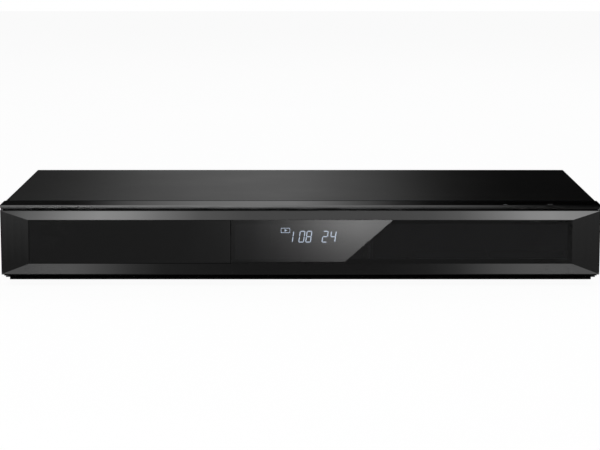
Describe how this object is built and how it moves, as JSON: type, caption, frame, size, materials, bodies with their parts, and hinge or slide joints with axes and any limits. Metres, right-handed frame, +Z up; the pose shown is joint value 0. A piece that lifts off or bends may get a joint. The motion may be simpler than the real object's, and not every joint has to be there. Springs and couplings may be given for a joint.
{
  "type": "disc recorder",
  "caption": "Slim black set-top disc recorder with drop-down front flap, sliding disc tray, hard disk, cooling fan, module slots and rear sockets.",
  "frame": {"origin": "middle of the overall box, on the surface that the feet stand on", "axes": "+X to the right seen from the front, +Y to the rear, +Z up; the front flap faces -Y"},
  "size_m": [0.43, 0.199, 0.059],
  "materials": {
    "cover_paint": "satin black painted steel",
    "zinc_steel": "zinc-plated steel sheet",
    "gloss_black": "gloss black moulded plastic",
    "smoked_window": "dark smoked acrylic",
    "satin_black": "satin black moulded plastic",
    "pale_acetal": "natural acetal",
    "black_rubber": "black rubber",
    "bright_steel": "bright steel",
    "brass": "brass",
    "circuit_board": "green lacquered glass-fibre board",
    "chip_resin": "moulded epoxy",
    "capacitor_sleeve": "sleeved aluminium cans",
    "aluminium": "cast and extruded aluminium",
    "clear_glass": "glass",
    "display_glass": "dark display glass",
    "ribbon": "white ribbon cable"
  },
  "bodies": {
    "casing": {"bottom_chassis": "zinc_steel", "top_cover": "cover_paint", "rear_panel": "zinc_steel", "front_bezel": "satin_black", "top_strip": "gloss_black", "rubber_feet": "black_rubber", "casing_screws": "bright_steel", "inner_screws": "bright_steel", "door_magnets": "bright_steel", "button_board": "circuit_board", "tact_switches": "chip_resin", "front_board": "circuit_board", "display_module": "display_glass", "ir_receiver": "satin_black", "front_data_socket": "bright_steel", "card_slot": "zinc_steel", "module_cage": "zinc_steel", "loader_frame": "satin_black", "clamp_bridge": "zinc_steel", "clamp_puck": "pale_acetal", "loading_motor": "bright_steel", "drive_belt": "black_rubber", "hard_disk": "aluminium", "hard_disk_bracket": "zinc_steel", "main_board": "circuit_board", "board_chips": "chip_resin", "heat_sink": "aluminium", "tuner_can": "zinc_steel", "flat_cables": "ribbon", "aerial_sockets": "bright_steel", "video_socket": "bright_steel", "network_socket": "satin_black", "audio_video_jacks": "satin_black", "power_board": "circuit_board", "transformer": "chip_resin", "capacitors": "capacitor_sleeve", "ac_inlet": "satin_black", "fan_housing": "satin_black"},
    "front_flap": {"door_frame": "gloss_black", "door_window": "smoked_window", "door_hinge_pins": "bright_steel", "magnet_plates": "zinc_steel"},
    "disc_tray": {"disc_tray": "satin_black", "tray_lid": "gloss_black"},
    "tray_gear": {"tray_gear": "pale_acetal"},
    "pulley_gear": {"pulley_gear": "pale_acetal"},
    "motor_pulley": {"motor_pulley": "brass"},
    "traverse": {"traverse_frame": "zinc_steel", "spindle_motor": "bright_steel", "guide_rods": "bright_steel", "sled_motor": "bright_steel"},
    "cam_slider": {"cam_slider": "pale_acetal"},
    "turntable": {"turntable": "pale_acetal"},
    "pickup": {"pickup_sled": "aluminium", "pickup_lens": "clear_glass"},
    "lead_screw": {"lead_screw": "bright_steel"},
    "fan_rotor": {"fan_rotor": "satin_black"},
    "power_button": {"power_button": "gloss_black"},
    "open_close_button": {"open_close_button": "gloss_black"}
  },
  "joints": [
    {"name": "front_flap_hinge", "type": "hinge", "parent": "casing", "child": "front_flap", "pos_m": [0, -0.0952, 0.013], "axis": [1, 0, 0], "range_deg": [0, 90]},
    {"name": "disc_tray_slide", "type": "slide", "parent": "casing", "child": "disc_tray", "axis": [0, -1, 0], "range_m": [0, 0.135]},
    {"name": "tray_gear_spin", "type": "hinge", "parent": "casing", "child": "tray_gear", "pos_m": [-0.1646, -0.069, 0.021], "axis": [0, 0, 1], "range_deg": [-20, 664.6]},
    {"name": "pulley_gear_spin", "type": "hinge", "parent": "casing", "child": "pulley_gear", "pos_m": [-0.1465, -0.069, 0.0174], "axis": [0, 0, 1], "range_deg": [-1329.2, 40]},
    {"name": "motor_pulley_spin", "type": "hinge", "parent": "casing", "child": "motor_pulley", "pos_m": [-0.1104, -0.069, 0.0174], "axis": [0, 0, 1], "range_deg": [-4171.6, 120]},
    {"name": "traverse_lift", "type": "slide", "parent": "casing", "child": "traverse", "axis": [0, 0, 1], "range_m": [0, 0.0055]},
    {"name": "cam_slide", "type": "slide", "parent": "casing", "child": "cam_slider", "axis": [-1, 0, 0], "range_m": [0, 0.011]},
    {"name": "turntable_spin", "type": "hinge", "parent": "traverse", "child": "turntable", "pos_m": [-0.1226, -0.026, 0.024], "axis": [0, 0, 1], "continuous": true},
    {"name": "pickup_slide", "type": "slide", "parent": "traverse", "child": "pickup", "axis": [0, 1, 0], "range_m": [0, 0.036]},
    {"name": "lead_screw_spin", "type": "hinge", "parent": "traverse", "child": "lead_screw", "pos_m": [-0.0916, -0.026, 0.018], "axis": [0, 1, 0], "range_deg": [-120, 4170]},
    {"name": "fan_spin", "type": "hinge", "parent": "casing", "child": "fan_rotor", "pos_m": [0.096, 0.0854, 0.0379], "axis": [0, 1, 0], "continuous": true},
    {"name": "power_button_press", "type": "slide", "parent": "casing", "child": "power_button", "axis": [0, 0, -1], "range_m": [0, 0.0006], "stiffness_N_per_m": 400, "springref_m": -0.0008},
    {"name": "open_close_button_press", "type": "slide", "parent": "casing", "child": "open_close_button", "axis": [0, 0, -1], "range_m": [0, 0.0006], "stiffness_N_per_m": 400, "springref_m": -0.0008}
  ],
  "couplings": [
    {"joint": "tray_gear_spin", "follows": "disc_tray_slide", "rad_per_m": 83.333},
    {"joint": "pulley_gear_spin", "follows": "disc_tray_slide", "rad_per_m": -166.67},
    {"joint": "motor_pulley_spin", "follows": "disc_tray_slide", "rad_per_m": -523.81},
    {"joint": "cam_slide", "follows": "traverse_lift", "ratio": 2},
    {"joint": "lead_screw_spin", "follows": "pickup_slide", "rad_per_m": 1963.5}
  ]
}
